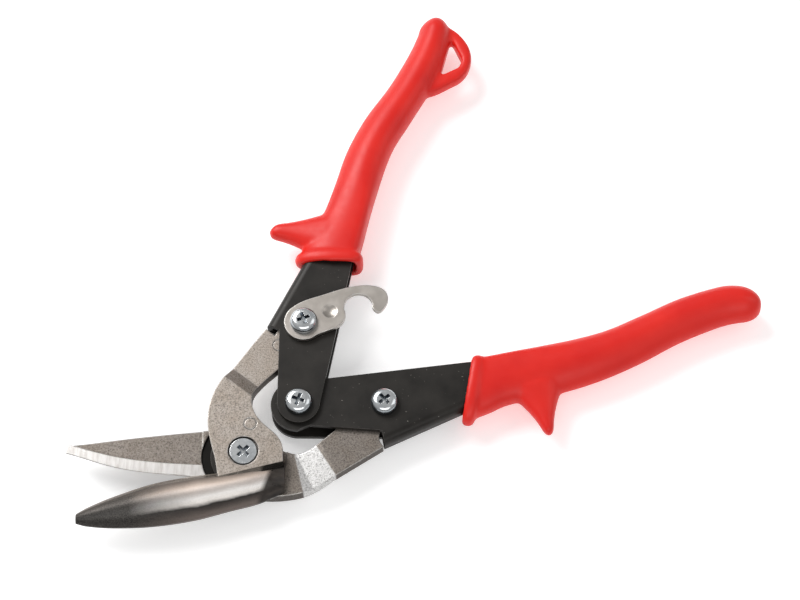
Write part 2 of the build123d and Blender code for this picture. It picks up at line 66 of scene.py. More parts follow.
# ---- materials ----------------------------------------------------------
class Look:
    """A node material with short calls for the nodes used here."""

    def __init__(self, name):
        self.material = bpy.data.materials.new(name)
        self.material.use_nodes = True
        self.tree = self.material.node_tree
        self.shader = self.tree.nodes["Principled BSDF"]
        self.place = self.tree.nodes.new("ShaderNodeTexCoord").outputs["Object"]

    def wire(self, value, socket):
        """Links a node's output to a socket, or writes a plain value into it."""
        if isinstance(value, bpy.types.NodeSocket):
            self.tree.links.new(value, socket)
        else:
            socket.default_value = value

    def set(self, **values):
        """Sets the main shader's sockets by their names."""
        names = {k.replace("_", " ").lower(): k for k in values}
        for socket in self.shader.inputs:
            if socket.name.lower() in names:
                self.wire(values[names[socket.name.lower()]], socket)

    def noise(self, scale, detail=3.0, roughness=0.55, stretch=None):
        """Noise with `scale` features per metre, stretched along the axes if asked."""
        node = self.tree.nodes.new("ShaderNodeTexNoise")
        place = self.place
        if stretch:
            mapping = self.tree.nodes.new("ShaderNodeMapping")
            mapping.inputs["Rotation"].default_value = (0, 0, stretch[0])
            mapping.inputs["Scale"].default_value = stretch[1]
            self.wire(place, mapping.inputs["Vector"])
            place = mapping.outputs[0]
        self.wire(place, node.inputs["Vector"])
        node.inputs["Scale"].default_value = scale
        node.inputs["Detail"].default_value = detail
        node.inputs["Roughness"].default_value = roughness
        return node.outputs["Fac"]

    def ramp(self, value, *stops):
        """Maps a value through stops of (position, grey or colour)."""
        node = self.tree.nodes.new("ShaderNodeValToRGB")
        elements = node.color_ramp.elements
        while len(elements) < len(stops):
            elements.new(0.5)
        for element, (position, colour) in zip(elements, stops):
            element.position = position
            if not isinstance(colour, tuple):
                colour = (colour, colour, colour)
            element.color = (*colour, 1.0)
        self.wire(value, node.inputs["Fac"])
        return node.outputs["Color"]

    def mix(self, share, a, b, blend="MIX"):
        """Goes from a to b as the share goes from 0 to 1."""
        node = self.tree.nodes.new("ShaderNodeMix")
        node.data_type = "RGBA"
        node.blend_type = blend
        self.wire(share, node.inputs[0])
        for value, socket in ((a, node.inputs[6]), (b, node.inputs[7])):
            self.wire((*value, 1.0) if isinstance(value, tuple) else value, socket)
        return node.outputs[2]

    def math(self, operation, a, b=0.0, clamp=False):
        """One arithmetic step."""
        node = self.tree.nodes.new("ShaderNodeMath")
        node.operation = operation
        node.use_clamp = clamp
        self.wire(a, node.inputs[0])
        self.wire(b, node.inputs[1])
        return node.outputs[0]

    def axis(self, along, start, length):
        """Rises from 0 at the start point to 1 a length in millimetres further along a direction."""
        node = self.tree.nodes.new("ShaderNodeVectorMath")
        node.operation = "DOT_PRODUCT"
        along = Vector(along).normalized()
        self.wire(self.place, node.inputs[0])
        node.inputs[1].default_value = along
        value = self.math("SUBTRACT", node.outputs["Value"], along.dot(start))
        return self.math("DIVIDE", value, length * MM, clamp=True)

    def rounded(self, radius):
        """A normal that rounds sharp edges, and a mask that is 1 on them."""
        bevel = self.tree.nodes.new("ShaderNodeBevel")
        bevel.samples = 6
        bevel.inputs["Radius"].default_value = radius * MM
        geometry = self.tree.nodes.new("ShaderNodeNewGeometry")
        dot = self.tree.nodes.new("ShaderNodeVectorMath")
        dot.operation = "DOT_PRODUCT"
        self.wire(bevel.outputs[0], dot.inputs[0])
        self.wire(geometry.outputs["Normal"], dot.inputs[1])
        edge = self.ramp(dot.outputs["Value"], (0.90, 1.0), (0.997, 0.0))
        return bevel.outputs[0], edge

    def crevice(self, distance):
        """0 in tight corners, 1 in the open."""
        node = self.tree.nodes.new("ShaderNodeAmbientOcclusion")
        node.samples = 6
        node.inputs["Distance"].default_value = distance * MM
        return self.ramp(node.outputs["AO"], (0.35, 0.0), (0.9, 1.0))

    def near(self, centre, radius, soft=0.3):
        """1 within a radius in millimetres of a point, 0 outside it."""
        node = self.tree.nodes.new("ShaderNodeVectorMath")
        node.operation = "DISTANCE"
        self.wire(self.place, node.inputs[0])
        node.inputs[1].default_value = centre
        gap = self.math("SUBTRACT", (radius + soft) * MM, node.outputs["Value"])
        return self.math("DIVIDE", gap, soft * MM, clamp=True)

    def slope(self):
        """1 where the surface faces up or down, 0 where it stands upright."""
        geometry = self.tree.nodes.new("ShaderNodeTexCoord")
        split = self.tree.nodes.new("ShaderNodeSeparateXYZ")
        self.wire(geometry.outputs["Normal"], split.inputs[0])
        return self.math("ABSOLUTE", split.outputs["Z"])

    def bump(self, height, depth, strength=1.0, normal=None):
        """Bump of a depth in millimetres."""
        node = self.tree.nodes.new("ShaderNodeBump")
        node.inputs["Strength"].default_value = strength
        node.inputs["Distance"].default_value = depth * MM
        self.wire(height, node.inputs["Height"])
        if normal is not None:
            self.wire(normal, node.inputs["Normal"])
        return node.outputs[0]


def blasted(name, dark, light, shine):
    """Sand-blasted forging with fine speckle and worn bright edges; upright walls are darkened as
    painted shade.
    """
    look = Look(name)
    normal, edge = look.rounded(0.55)
    grain = look.noise(1900, 5.0, 0.85)
    patches = look.noise(170, 4.0, 0.6)
    between = tuple(0.3 * a + 0.7 * b for a, b in zip(dark, light))
    speckle = look.ramp(grain, (0.36, dark), (0.50, between), (0.64, light))
    stain = look.ramp(patches, (0.35, (0.88, 0.85, 0.81)), (0.65, (1.0, 1.0, 1.0)))
    stained = look.mix(0.8, speckle, stain, "MULTIPLY")
    worn = look.math("MULTIPLY", edge, look.ramp(look.noise(700, 3.0), (0.3, 0.25), (0.6, 0.95)))
    # Upright walls are darkened to about a third of their colour: painted shade.
    upright = look.ramp(look.slope(), (0.45, (0.36, 0.34, 0.33)), (0.8, (1.0, 1.0, 1.0)))
    with_painted_wall_shade = look.mix(1.0, stained, upright, "MULTIPLY")
    colour = look.mix(worn, with_painted_wall_shade, (0.74, 0.72, 0.69))
    rough = look.ramp(grain, (0.3, shine + 0.14), (0.7, shine))
    rough = look.math("SUBTRACT", rough, look.math("MULTIPLY", worn, 0.22))
    look.set(base_color=colour, metallic=0.92, roughness=rough)
    look.set(normal=look.bump(grain, 0.05, 0.75, normal))
    return look, colour, rough, grain


front, colour, rough, _ = blasted("front_jaw_blasted", (0.11, 0.095, 0.085), (0.50, 0.445, 0.395), 0.38)
# The flank below the body's face is smooth and dark, up to the blade's heel.
flank = front.axis((0.2468, -1, 0), in_jaw(-8.7, -9.0), 0.25)
smudge = front.noise(300, 4.0, 0.6, stretch=(-0.25, (0.4, 1.0, 1.0)))
smooth = front.ramp(smudge, (0.3, (0.055, 0.048, 0.042)), (0.7, (0.20, 0.175, 0.15)))
# The hollow at the blade's heel is painted near black: painted shade.
smooth = front.mix(front.near(in_jaw(14.0, -8.5, 4.0), 7.6, 1.2), smooth, (0.016, 0.014, 0.012))
front.set(base_color=front.mix(flank, colour, smooth))
front.set(roughness=front.mix(flank, rough, (0.26, 0.26, 0.26)))

# The back jaw adds the ground cutting land, the relieved blade face, painted shade in the pocket round
# the front jaw's boss and a painted highlight on the joggle band.
back, colour, rough, grain = blasted(
    "back_jaw_blasted", (0.065, 0.057, 0.051), (0.31, 0.275, 0.245), 0.40
)
on_face = back.axis((0, 0, 1), in_jaw(0, 0, -0.18), 0.06)
on_blade = back.axis((-1, 0, 0), in_jaw(-14.7, 0), 0.3)
root = back.axis((-1, 0, 0), in_jaw(-12.4, 0), 0.4)
root = back.math("MULTIPLY", root, back.axis((0, -1, 0), in_jaw(0, -2.9), 0.3))
land = back.math("MULTIPLY", on_face, back.math("MAXIMUM", on_blade, root))
strokes = back.noise(900, 4.0, 0.6, stretch=(0.14, (1.0, 0.16, 1.0)))
ground = back.ramp(strokes, (0.3, (0.53, 0.50, 0.475)), (0.62, (0.69, 0.67, 0.65)))
colour = back.mix(land, colour, ground)
joggle = back.math(
    "MULTIPLY",
    back.axis((13.0, 3.1, 0), in_jaw(16.5, 0.9), 0.5),
    back.math("SUBTRACT", 1.0, back.axis((9.0, 5.7, 0), in_jaw(24.0, 3.0), 0.5)),
)
# The recess round the front jaw's boss, below the face, is painted near black: painted shade.
painted_pocket_shade = back.near(in_jaw(0, 0, -0.8), 14.2)
painted_pocket_shade = back.math("MULTIPLY", painted_pocket_shade, back.math("SUBTRACT", 1.0, on_face))
painted_pocket_shade = back.math("MULTIPLY", painted_pocket_shade, back.axis((-1, 0, 0), in_jaw(4.0, 0), 2.0))
colour = back.mix(painted_pocket_shade, colour, (0.012, 0.011, 0.010))
# The joggle band's bright steel is a painted highlight; its speckle is grain.
bright = back.ramp(
    grain, (0.36, (0.12, 0.115, 0.11)), (0.48, (0.58, 0.57, 0.56)), (0.6, (0.74, 0.73, 0.72))
)
colour = back.mix(joggle, colour, bright)
rough = back.mix(back.math("MAXIMUM", land, joggle), rough, (0.3, 0.3, 0.3))
back.set(base_color=colour, roughness=rough)


def oxide(name):
    """Black-oxide sheet steel, rubbed lighter on its edges, with a few dust specks."""
    look = Look(name)
    normal, edge = look.rounded(0.35)
    grain = look.noise(2600, 3.0, 0.6)
    cloud = look.noise(90, 5.0, 0.6)
    colour = look.ramp(cloud, (0.3, (0.013, 0.0115, 0.010)), (0.7, (0.024, 0.021, 0.018)))
    dust = look.ramp(look.noise(1500, 1.0, 0.5), (0.765, 0.0), (0.80, 1.0))
    colour = look.mix(look.math("MULTIPLY", dust, 0.6), colour, (0.30, 0.28, 0.25))
    worn = look.math("MULTIPLY", edge, look.ramp(look.noise(500, 4.0), (0.3, 0.15), (0.7, 0.75)))
    colour = look.mix(worn, colour, (0.16, 0.15, 0.14))
    rough = look.ramp(cloud, (0.3, 0.36), (0.7, 0.50))
    look.set(base_color=colour, metallic=0.35, roughness=rough, specular_ior_level=0.38)
    look.set(normal=look.bump(grain, 0.02, 0.5, normal))
    return look


def vinyl():
    """Dipped red vinyl: satin, faintly uneven, a little light under the skin."""
    look = Look("grip_red_vinyl")
    pores = look.noise(2200, 2.0, 0.5)
    swell = look.noise(60, 3.0, 0.5)
    colour = look.ramp(swell, (0.3, (0.66, 0.012, 0.008)), (0.7, (0.75, 0.020, 0.012)))
    rough = look.ramp(look.noise(420, 4.0, 0.6), (0.3, 0.34), (0.7, 0.46))
    look.set(base_color=colour, roughness=rough, normal=look.bump(pores, 0.012, 0.35))
    look.set(specular_ior_level=0.36, subsurface_weight=0.08, subsurface_scale=0.002)
    look.shader.inputs["Subsurface Radius"].default_value = (1.0, 0.25, 0.15)
    return look


def plated(name, dark, light, rough_low, rough_high, scale=1400, edge_width=0.2, ring=False):
    """Plated metal with a fine uneven brightness; with ring, sloping faces get a painted dark
    reflection and crevices painted shade, in dark blue-grey.
    """
    look = Look(name)
    normal, edge = look.rounded(edge_width)
    film = look.noise(scale, 4.0, 0.6)
    patches = look.noise(220, 3.0, 0.5)
    colour = look.mix(look.ramp(patches, (0.35, 0.0), (0.65, 1.0)), dark, light)
    colour = look.mix(look.math("MULTIPLY", edge, 0.7), colour, (0.86, 0.85, 0.83))
    if ring:
        # With ring, faces that slope away and crevices turn dark blue-grey: painted reflection on the
        # slopes, painted shade in the crevices.
        painted_reflection_and_crevice_shade = look.ramp(look.slope(), (0.45, 0.25), (0.86, 1.0))
        painted_reflection_and_crevice_shade = look.math("MULTIPLY", look.crevice(0.9), painted_reflection_and_crevice_shade)
        colour = look.mix(painted_reflection_and_crevice_shade, (0.13, 0.16, 0.19), colour)
    rough = look.ramp(film, (0.3, rough_low), (0.7, rough_high))
    look.set(base_color=colour, metallic=1.0, roughness=rough)
    look.set(normal=look.bump(film, 0.012, 0.4, normal))
    return look


black = oxide("channel_black_oxide")
red = vinyl()
zinc = plated("bright_zinc", (0.66, 0.69, 0.71), (0.84, 0.86, 0.87), 0.14, 0.26, ring=True)
nickel = plated("latch_nickel", (0.42, 0.385, 0.35), (0.52, 0.48, 0.44), 0.30, 0.44, 2600, 0.5)
spring_steel = plated("spring_wire", (0.20, 0.19, 0.18), (0.34, 0.33, 0.31), 0.25, 0.4)
bush_steel = plated("bush_steel", (0.30, 0.28, 0.25), (0.44, 0.41, 0.38), 0.3, 0.5)

looks = {
    "front_jaw": front,
    "back_jaw": back,
    "upper_channel": black,
    "lower_channel": black,
    "upper_grip": red,
    "lower_grip": red,
    "latch": nickel,
    "latch_washer": zinc,
    "jaw_pivot_washer": black,
    "return_spring": spring_steel,
    "handle_pivot_sleeve": bush_steel,
    "upper_tang_bush": bush_steel,
    "lower_tang_bush": bush_steel,
}
for name, node in nodes.items():
    for slot in node.material_slots:
        slot.material = looks.get(name, zinc).material


# ---- grips --------------------------------------------------------------
# Lengths are in millimetres; x runs from the handle pivot along the handle.
GRIP_DEPTH = 6.1  # half the thickness over the channel
ROOF_DEEPER = 1.06  # how much deeper the grip is past the channel
ROOF_START, ROOF_BLEND = 72, 18  # where the section starts to change, and over what length
STAGGER = 0.85  # how far each handle's middle lies from the cutting plane
GRIP_RINGS = 70
VOXEL = 0.5  # size of the remeshed grips' faces


def handle_frame(toward, down):
    """Maps millimetres in a handle's own frame to the scene; down flips its Z."""
    along = Vector((toward.x - handle_pivot.x, toward.y - handle_pivot.y, 0)).normalized()
    normal = Vector((0, 0, -1 if down else 1))
    aside = normal.cross(along)
    origin = Vector((handle_pivot.x, handle_pivot.y, jaw_pivot.z)) - normal * STAGGER * MM

    def place(x, y, z=0.0):
        return origin + (along * x + aside * y + normal * z) * MM

    return place


in_upper = handle_frame(upper_screw, True)
in_lower = handle_frame(lower_screw, False)


def smooth_line(points, count):
    """Points evenly spread along a smooth curve through the given ones."""
    spline = []
    ends = [points[0]] + list(points) + [points[-1]]
    fine = 16
    for i in range(1, len(ends) - 2):
        a, b, c, d = (Vector(p) for p in ends[i - 1 : i + 3])
        for k in range(fine):
            t = k / fine
            square, cube = 2 * a - 5 * b + 4 * c - d, 3 * b - a - 3 * c + d
            spline.append(0.5 * (2 * b + (c - a) * t + square * t**2 + cube * t**3))
    spline.append(Vector(points[-1]))
    lengths = [0.0]
    for p, q in zip(spline, spline[1:]):
        lengths.append(lengths[-1] + (q - p).length)
    result, j = [], 0
    for i in range(count):
        want = lengths[-1] * i / (count - 1)
        while j < len(spline) - 2 and lengths[j + 1] < want:
            j += 1
        span = lengths[j + 1] - lengths[j]
        result.append(spline[j].lerp(spline[j + 1], (want - lengths[j]) / span if span else 0))
    return result


def skin(bm, rings):
    """Joins closed rings of points into a capped tube."""
    rows = [[bm.verts.new(p) for p in ring] for ring in rings]
    n = len(rows[0])
    for a, b in zip(rows, rows[1:]):
        for i in range(n):
            bm.faces.new((a[i], a[(i + 1) % n], b[(i + 1) % n], b[i]))
    bm.faces.new(list(reversed(rows[0])))
    bm.faces.new(rows[-1])


def grip_section(outer, inner, depth, place, roof=0.0):
    """One closed section: boxy over the channel, more like a rounded roof where roof is 1."""
    middle, half = (outer + inner) / 2, (inner - outer) / 2
    crest = 0.34 - 0.26 * roof
    long_side, short_side = 0.94 + 0.30 * roof, 0.50 + 0.42 * roof
    ring = []
    for i in range(48):
        angle = 2 * math.pi * i / 48
        c, s = math.cos(angle), math.sin(angle)
        power = long_side if c < 0 else short_side
        across = crest + math.copysign((1 + crest if c < 0 else 1 - crest) * abs(c) ** power, c)
        up = math.copysign(abs(s) ** power, s)
        spot = middle + half * across * (1 + 0.045 * roof)
        ring.append(place(spot.x, spot.y, depth * up))
    return ring


def slab(bm, outline, half, place, rim):
    """A plate with rounded rims from an outline, in a handle's frame."""
    centre = sum((Vector(p) for p in outline), Vector((0, 0))) / len(outline)
    rings = []
    for k in range(7):
        angle = math.pi * k / 6 - math.pi / 2
        inset = rim * (1 - math.cos(angle))
        z = half * math.sin(angle)
        ring = []
        n = len(outline)
        for i, p in enumerate(outline):
            before, after = Vector(outline[i - 1]), Vector(outline[(i + 1) % n])
            run = (after - before).normalized()
            normal = Vector((-run.y, run.x))
            if normal.dot(centre - Vector(p)) < 0:
                normal = -normal
            q = Vector(p) + normal * inset
            ring.append(place(q.x, q.y, z))
        rings.append(ring)
    skin(bm, rings)


def ridge(bm, root_a, root_b, tip, tip_width, root_half, tip_half, place):
    """A fin that thins from its root to a rounded tip."""
    a, b, t = Vector(root_a), Vector(root_b), Vector(tip)
    narrow = tip_width / (b - a).length
    rings = []
    for k in range(21):
        s = k / 20
        fall = (1 - s) ** 1.6
        mid = ((a + b) / 2).lerp(t, s)
        half = (b - a) / 2 * (narrow + (1 - narrow) * fall)
        depth = tip_half + (root_half - tip_half) * fall
        if s > 0.85:
            close = math.sqrt(max(0.02, 1 - ((s - 0.85) / 0.15) ** 2))
            half, depth = half * close, depth * close
        ring = []
        for i in range(20):
            angle = 2 * math.pi * i / 20
            c, w = math.cos(angle), math.sin(angle)
            spot = mid + half * math.copysign(abs(c) ** 0.8, c)
            ring.append(place(spot.x, spot.y, depth * math.copysign(abs(w) ** 1.1, w)))
        rings.append(ring)
    skin(bm, rings)


def shade_smooth(obj):
    for polygon in obj.data.polygons:
        polygon.use_smooth = True


def finish_mesh(name, bm):
    """Turns a bmesh into an object in the scene."""
    bmesh.ops.recalc_face_normals(bm, faces=bm.faces)
    mesh = bpy.data.meshes.new(name)
    bm.to_mesh(mesh)
    bm.free()
    obj = bpy.data.objects.new(name, mesh)
    bpy.context.scene.collection.objects.link(obj)
    return obj


def apply_modifiers(obj):
    """Leaves the object with the mesh that its modifiers make."""
    evaluated = obj.evaluated_get(bpy.context.evaluated_depsgraph_get())
    settled = bpy.data.meshes.new_from_object(evaluated)
    obj.modifiers.clear()
    obj.data = settled


def voxel_remesh(obj, name):
    remesh = obj.modifiers.new(name, "REMESH")
    remesh.mode = "VOXEL"
    remesh.voxel_size = VOXEL * MM


def moulded_grip(name, body, place, outer, end, inner, guard, collar, mouth, loop=None):
    """A dipped vinyl grip: swept body, fin and lip, fused and softened, with a hollow mouth.

    outer and inner are its two long edges and end is the farthest point. guard gives the fin,
    collar the lip, mouth the hollow for the channel, and loop the hang loop's outline and hole.
    """
    bm = bmesh.new()
    outs = smooth_line(outer, GRIP_RINGS)
    ins = smooth_line(inner, GRIP_RINGS)
    rings = []
    for o, n in zip(outs, ins):
        roof = min(1.0, max(0.0, (o.x - ROOF_START) / ROOF_BLEND))
        depth = GRIP_DEPTH * (1 + (ROOF_DEEPER - 1) * roof)
        rings.append(grip_section(o, n, depth, place, roof))
    tail = (outs[-1] + ins[-1]) / 2
    reach = Vector(end) - tail
    for k in range(1, 9):
        angle = math.pi / 2 * k / 8.6
        shrink, push = math.cos(angle) ** 0.9, math.sin(angle)
        o = tail + (outs[-1] - tail) * shrink + reach * push
        n = tail + (ins[-1] - tail) * shrink + reach * push
        depth = GRIP_DEPTH * ROOF_DEEPER * (0.25 + 0.75 * shrink)
        rings.append(grip_section(o, n, depth, place, 1.0))
    skin(bm, rings)
    ridge(bm, *guard, place)

    x_low, x_high, y_low, y_high, slant, half = collar
    rings = []
    for k in range(9):
        s = k / 8
        swell = 1 - 0.10 * abs(2 * s - 1) ** 3
        x = x_low + (x_high - x_low) * s
        mid, reach_y = (y_low + y_high) / 2, (y_high - y_low) / 2 * swell
        o = Vector((x + slant, mid - reach_y))
        n = Vector((x - slant, mid + reach_y))
        rings.append(grip_section(o, n, half * swell, place))
    skin(bm, rings)
    if loop:
        slab(bm, smooth_line(loop[0], 40), 2.6, place, 0.9)
    obj = finish_mesh(name, bm)

    hollow = bmesh.new()
    x0, x1, y0, y1, y2, y3, half = mouth
    rings = []
    for s in (0.0, 0.5, 1.0):
        x = x0 + (x1 - x0) * s
        o = Vector((x, y0 + (y2 - y0) * s))
        n = Vector((x, y1 + (y3 - y1) * s))
        rings.append(grip_section(o, n, half * (1 - 0.25 * s), place))
    skin(hollow, rings)
    tools = [finish_mesh(name + "_mouth", hollow)]
    if loop:
        hole = bmesh.new()
        corners = rounded_polygon(loop[1], 1.3)
        skin(hole, [[place(x, y, z) for x, y in corners] for z in (-9.0, 9.0)])
        tools.append(finish_mesh(name + "_hole", hole))

    voxel_remesh(obj, "fuse")
    for tool in tools:
        cut = obj.modifiers.new("cut", "BOOLEAN")
        cut.operation = "DIFFERENCE"
        cut.object = tool
    voxel_remesh(obj, "again")
    soften = obj.modifiers.new("soften", "SMOOTH")
    soften.factor = 0.5
    soften.iterations = 14
    apply_modifiers(obj)
    for tool in tools:
        bpy.data.objects.remove(tool)
    shade_smooth(obj)
    obj.data.materials.clear()
    obj.data.materials.append(red.material)
    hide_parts(name)
    obj.name = name + "_moulded"
    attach(obj, body)


def rounded_polygon(corners, radius):
    """A polygon's points with each corner rounded off."""
    points = []
    n = len(corners)
    for i in range(n):
        a, b, c = (Vector(corners[j % n]) for j in (i - 1, i, i + 1))
        u, v = (a - b).normalized(), (c - b).normalized()
        for t in (0.0, 0.25, 0.5, 0.75, 1.0):
            p, q = b + u * radius * (1 - t), b + v * radius * t
            points.append(tuple(p.lerp(q, t).lerp(b + (u + v) * radius * 0.2, 0.35)))
    return points


moulded_grip(
    "upper_grip",
    "upper_handle",
    in_upper,
    outer=[(54.0, -4.4), (62.0, -0.9), (72.4, 3.8), (85.3, 7.7), (98.4, 11.2),
           (111.7, 16.9), (125.3, 24.9), (139.1, 31.4), (147.6, 34.4)],
    end=(154.3, 40.3),
    inner=[(53.6, 16.6), (63.0, 18.5), (78.7, 21.4), (98.3, 26.3), (111.7, 32.7),
           (125.3, 39.4), (138.0, 43.8), (147.6, 45.4)],
    guard=((55.6, 3.0), (74.5, 8.5), (65.4, -14.5), 5.6, 5.4, 3.0),
    collar=(52.2, 56.6, -4.9, 19.0, 0.0, 7.0),
    mouth=(51.0, 58.5, -2.6, 16.4, 1.4, 16.0, 5.4),
    loop=(
        [(152.6, 42.0), (149.6, 47.6), (145.1, 51.8), (140.4, 53.8), (135.6, 53.8),
         (131.0, 52.0), (127.4, 48.0), (123.0, 37.5), (140.0, 37.5)],
        [(146.2, 46.2), (137.2, 50.6), (134.0, 49.6), (129.9, 42.7)],
    ),
)
moulded_grip(
    "lower_grip",
    "lower_handle",
    in_lower,
    outer=[(56.2, -5.9), (64.0, -3.0), (71.2, 0.1), (88.3, 4.0), (102.2, 8.3),
           (116.2, 14.4), (130.4, 21.9), (144.6, 27.6), (151.6, 29.2)],
    end=(159.2, 35.4),
    inner=[(59.8, 15.9), (69.0, 17.6), (81.9, 20.1), (102.6, 25.0), (116.6, 30.8),
           (130.7, 37.2), (144.8, 41.5), (150.6, 41.9)],
    guard=((70.6, 4.0), (90.5, 8.5), (84.2, -11.6), 3.4, 5.4, 2.4),
    collar=(56.6, 60.9, -7.4, 17.0, -2.0, 6.9),
    mouth=(53.4, 63.0, -5.2, 15.0, -1.4, 15.2, 5.6),
)


# ---- lower blade --------------------------------------------------------
# A finished skin over the forged blade: ground bevel, crease, crowned and polished flank, hollow heel.
# Each station: x, cutting edge's y, back's y, height, in millimetres from the jaw pivot.
BLADE_STATIONS = [
    (-54.6, -20.3, -23.6, 1.5),
    (-51.0, -18.2, -24.4, 2.7),
    (-43.0, -14.6, -25.0, 4.3),
    (-30.0, -10.0, -24.6, 5.7),
    (-16.0, -7.2, -22.5, 6.3),
    (-4.0, -5.6, -19.2, 6.3),
    (6.0, -3.6, -16.4, 5.8),
    (13.6, -2.6, -12.6, 4.2),
]
HEEL_CENTRE = (14.0, -9.5, 9.5)
HEEL_RADIUS = 6.8
SKIN = 0.32  # how far the skin stands over the forging
BLADE_START, BLADE_MIDDLE, BLADE_END = -54.68, -4.0, 13.68


def hermite(table, x, column):
    """A smooth value at x between a table's rows."""
    i = max(0, min(len(table) - 2, sum(1 for row in table if row[0] <= x) - 1))

    def slope(k):
        low, high = max(k - 1, 0), min(k + 1, len(table) - 1)
        return (table[high][column] - table[low][column]) / (table[high][0] - table[low][0])

    a, b = table[i], table[i + 1]
    span = b[0] - a[0]
    t = (x - a[0]) / span
    return (
        a[column] * (2 * t**3 - 3 * t**2 + 1)
        + b[column] * (3 * t**2 - 2 * t**3)
        + span * slope(i) * (t**3 - 2 * t**2 + t)
        + span * slope(i + 1) * (t**3 - t**2)
    )


def blade_section(x):
    """Points from the cutting edge over the crown to the back: y, height, share of the way across."""
    edge, back_y, height = (hermite(BLADE_STATIONS, x, c) for c in (1, 2, 3))
    width, k = edge - back_y, height / 6
    flank = [(1.3 * k, 1.95 * k), (1.9 * k, 3.05 * k), (0.22 * width, 0.80 * height),
             (0.50 * width, height), (0.82 * width, 0.66 * height), (width, 0.16 * height)]
    curve = smooth_line(flank, 26)
    points = [(0.0, 0.04, 0.0), (0.15 * k, 0.55 * k, 0.03), (1.0 * k, 1.85 * k, 0.06)]
    points += [(p.x, p.y, 0.09 + 0.91 * i / 25) for i, p in enumerate(curve)]
    points.append((width, 0.04, 1.0))
    grow = SKIN * min(1.0, height / 2.5)
    result = []
    for i, (across, up, share) in enumerate(points):
        y = edge - across * (1 + grow / width) + 0.04 * (i < 3)
        result.append((y, up + grow * (up > 0.1), share))
    return result


def lower_blade():
    """The skin, with a vertex attribute that the material's bands follow."""
    bm = bmesh.new()
    layer = bm.verts.layers.float.new("across")
    xs = [BLADE_START + (BLADE_MIDDLE - BLADE_START) * i / 110 for i in range(110)]
    xs += [BLADE_MIDDLE + (BLADE_END - BLADE_MIDDLE) * i / 58 for i in range(59)]
    rows = []
    for x in xs:
        row = []
        for y, z, share in blade_section(min(max(x, -54.6), 13.6)):
            away = (x - HEEL_CENTRE[0]) ** 2 + (y - HEEL_CENTRE[1]) ** 2
            if away < HEEL_RADIUS**2:
                z = min(z, HEEL_CENTRE[2] - math.sqrt(HEEL_RADIUS**2 - away) + 0.08)
            vert = bm.verts.new(in_jaw(x, y, z))
            vert[layer] = share
            row.append(vert)
        rows.append(row)
    for a, b in zip(rows, rows[1:]):
        for i in range(len(a)):
            bm.faces.new((a[i], b[i], b[(i + 1) % len(a)], a[(i + 1) % len(a)]))
    bm.faces.new(rows[0])
    bm.faces.new(list(reversed(rows[-1])))
    obj = finish_mesh("lower_blade_skin", bm)
    shade_smooth(obj)
    obj.data.set_sharp_from_angle(angle=math.radians(32))
    obj.data.materials.append(polished())
    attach(obj, "front_jaw")


def polished():
    """Polished steel in bands from the cutting edge to the back, dark at the tip and the heel; the
    bands over the crown are painted highlights and painted reflections, and the heel's darkness is
    painted shade.
    """
    look = Look("blade_polished")
    attribute = look.tree.nodes.new("ShaderNodeAttribute")
    attribute.attribute_name = "across"
    across = attribute.outputs["Fac"]
    grain = look.noise(3600, 2.0, 0.7)
    rub = look.noise(260, 4.0, 0.6, stretch=(-0.25, (0.35, 1.0, 1.0)))
    wobble = look.math("ADD", across, look.math("MULTIPLY", look.math("SUBTRACT", rub, 0.5), 0.11))
    # The ground bevel's grey is its own colour; the dark crease is painted shade, and the dark, beige,
    # white and black bands over the crown are painted highlights and painted reflections.
    bevel_and_painted_reflection_bands = look.ramp(
        wobble,
        (0.02, (0.30, 0.26, 0.22)),
        (0.075, (0.30, 0.26, 0.22)),
        (0.10, (0.030, 0.026, 0.023)),
        (0.17, (0.09, 0.075, 0.063)),
        (0.28, (0.24, 0.195, 0.165)),
        (0.40, (0.50, 0.41, 0.35)),
        (0.54, (0.66, 0.60, 0.56)),
        (0.62, (0.84, 0.81, 0.78)),
        (0.70, (0.70, 0.66, 0.62)),
        (0.77, (0.028, 0.025, 0.023)),
        (0.95, (0.16, 0.13, 0.115)),
    )
    tip = look.math("SUBTRACT", 1.0, look.axis((1, 0, 0), in_jaw(-37, 0), 22.0))
    tip = look.math("MULTIPLY", tip, look.ramp(wobble, (0.16, 0.35), (0.34, 1.0)))
    dark_grain = look.ramp(grain, (0.35, (0.008, 0.008, 0.008)), (0.62, (0.07, 0.064, 0.058)))
    colour = look.mix(look.math("MULTIPLY", tip, 0.95), bevel_and_painted_reflection_bands, dark_grain)
    speck = look.ramp(grain, (0.3, 0.55), (0.6, 1.0))
    colour = look.mix(0.45, colour, speck, "MULTIPLY")
    # The hollow heel is painted near black: painted shade.
    heel = look.axis((1, -0.38, 0), in_jaw(7.4, -9), 1.6)
    smudge = look.ramp(rub, (0.35, 0.0), (0.65, 1.0))
    painted_heel_shade = look.mix(smudge, (0.016, 0.014, 0.013), (0.06, 0.05, 0.043))
    colour = look.mix(look.math("MULTIPLY", heel, 0.97), colour, painted_heel_shade)
    rough = look.ramp(rub, (0.3, 0.40), (0.7, 0.50))
    look.set(base_color=colour, metallic=0.55, roughness=rough, specular_ior_level=0.28)
    look.set(normal=look.bump(grain, 0.02, 0.35))
    return look.material


lower_blade()


# ---- return spring ------------------------------------------------------
# Wound between the channels: one leg runs toward each handle's screw.
WIRE_RADIUS = 0.45
COIL_RADIUS = 4.8
COIL_PITCH = 0.95
SPRING_LEG = 15.0
WIRE_SIDES = 12


